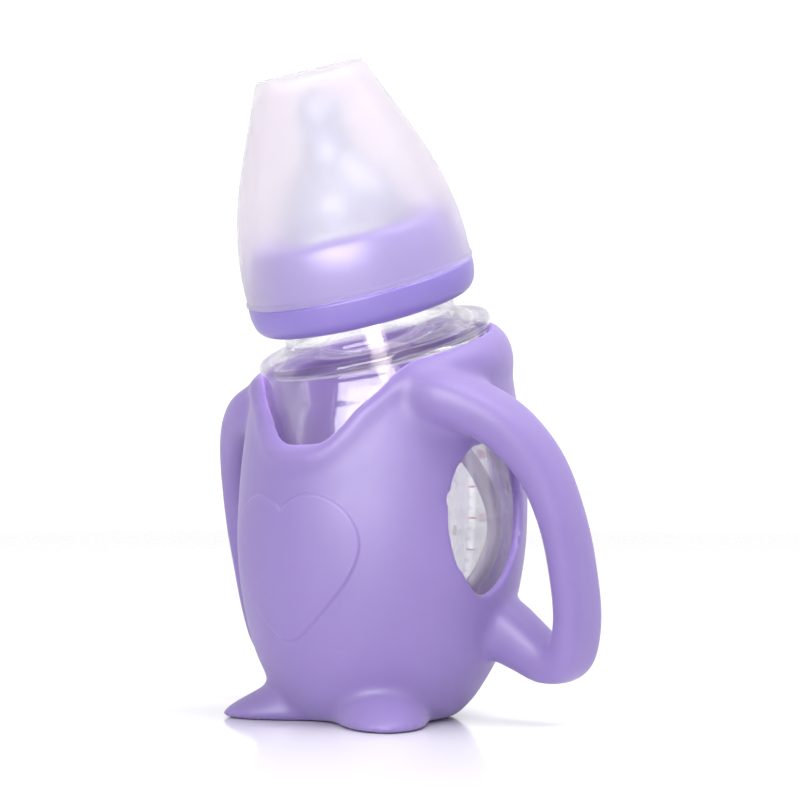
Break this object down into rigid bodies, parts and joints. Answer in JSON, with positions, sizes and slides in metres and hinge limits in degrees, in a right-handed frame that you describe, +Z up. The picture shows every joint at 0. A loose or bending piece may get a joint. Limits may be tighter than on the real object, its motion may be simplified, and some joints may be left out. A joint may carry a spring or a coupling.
{
  "type": "baby bottle",
  "caption": "Glass baby bottle with a forward-tilted neck in a penguin-shaped silicone sleeve with loop handles, with a teat, a weighted straw and a dome cap.",
  "frame": {"origin": "on the floor at the middle of the sleeve's flat base", "axes": "+Z up, the front with the neckline and the feet at -Y, the right wing handle at +X"},
  "size_m": [0.1232, 0.0814, 0.1754],
  "materials": {
    "lilac_silicone": "soft matte silicone",
    "clear_glass": "clear polished glass",
    "lilac_plastic": "satin moulded plastic",
    "frosted_plastic": "frosted translucent plastic",
    "clear_silicone": "smooth translucent silicone",
    "white_plastic": "smooth white plastic",
    "cream_silicone": "translucent cream silicone",
    "steel": "polished stainless steel"
  },
  "bodies": {
    "bottle": {"silicone_sleeve_shell": "lilac_silicone", "right_wing_handle": "lilac_silicone", "left_wing_handle": "lilac_silicone", "right_foot": "lilac_silicone", "left_foot": "lilac_silicone", "glass_bottle": "clear_glass"},
    "teat_set": {"teat": "clear_silicone", "straw_adaptor": "white_plastic"},
    "collar": {"screw_collar": "lilac_plastic"},
    "cap": {"dome_cap": "frosted_plastic"},
    "straw": {"straw_tube": "cream_silicone", "weight_housing_upper": "white_plastic", "weight_housing_lower": "white_plastic", "weight_ball": "steel"}
  },
  "joints": [
    {"name": "teat_lift", "type": "slide", "parent": "bottle", "child": "teat_set", "axis": [0, -0.3502, 0.9367], "range_m": [0, 0.0057]},
    {"name": "collar_turn", "type": "hinge", "parent": "teat_set", "child": "collar", "pos_m": [0, -0.00054, 0.10058], "axis": [0, -0.3502, 0.9367], "range_deg": [0, 450]},
    {"name": "cap_pull", "type": "slide", "parent": "collar", "child": "cap", "axis": [0, -0.3502, 0.9367], "range_m": [0, 0.09]},
    {"name": "straw_swing", "type": "hinge", "parent": "teat_set", "child": "straw", "pos_m": [0, -0.00789, 0.12025], "axis": [1, 0, 0], "range_deg": [-9, 0], "deforming": ["straw_tube"]}
  ],
  "couplings": [
    {"joint": "teat_lift", "follows": "collar_turn", "m_per_rad": 0.0007162}
  ]
}
